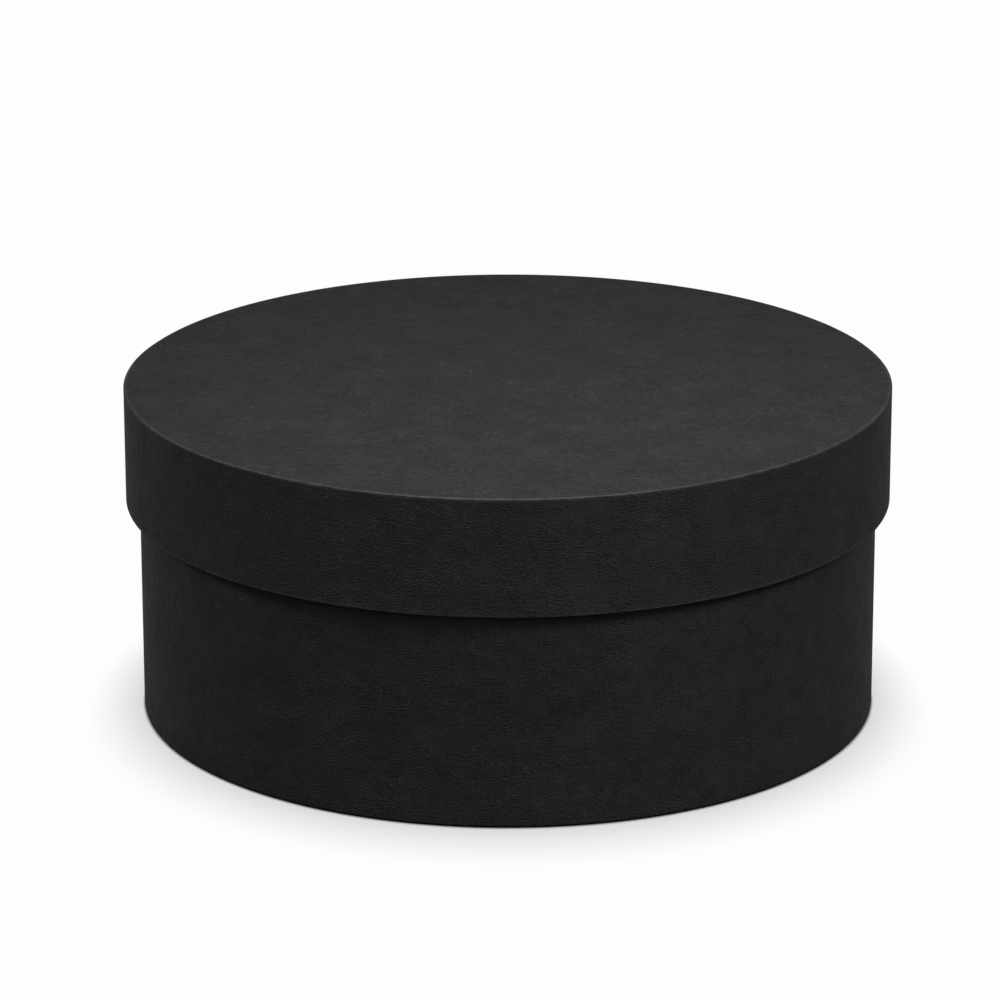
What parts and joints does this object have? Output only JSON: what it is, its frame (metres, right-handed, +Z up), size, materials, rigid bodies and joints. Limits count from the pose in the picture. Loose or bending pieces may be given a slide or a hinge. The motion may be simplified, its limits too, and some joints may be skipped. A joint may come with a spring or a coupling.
{
  "type": "round flower box",
  "caption": "Low round rigid box of rolled board covered in matt black paper, with a flat lid whose deep rim slips over the base and lifts off.",
  "frame": {"origin": "centre of the underside, on the surface that the box stands on", "axes": "+Z up along the axis of the round box; -Y towards the front, and the seams of the paper are near +Y"},
  "size_m": [0.2, 0.2001, 0.0871],
  "materials": {
    "cover_paper": "matte",
    "lining_paper": "matte",
    "greyboard": "matte",
    "kraft_tape": "matte"
  },
  "bodies": {
    "base": {"base_wall_board": "greyboard", "base_floor_board": "greyboard", "base_joint_tape": "kraft_tape", "base_wrap": "cover_paper", "base_foot_paper": "cover_paper", "base_wall_lining": "lining_paper", "base_floor_lining": "lining_paper"},
    "lid": {"lid_rim_board": "greyboard", "lid_top_board": "greyboard", "lid_joint_tape": "kraft_tape", "lid_top_paper": "cover_paper", "lid_rim_wrap": "cover_paper", "lid_rim_lining": "lining_paper", "lid_top_lining": "lining_paper"}
  },
  "joints": [
    {"name": "lid_lift", "type": "slide", "parent": "base", "child": "lid", "axis": [0, 0, 1], "range_m": [0, 0.1]}
  ]
}
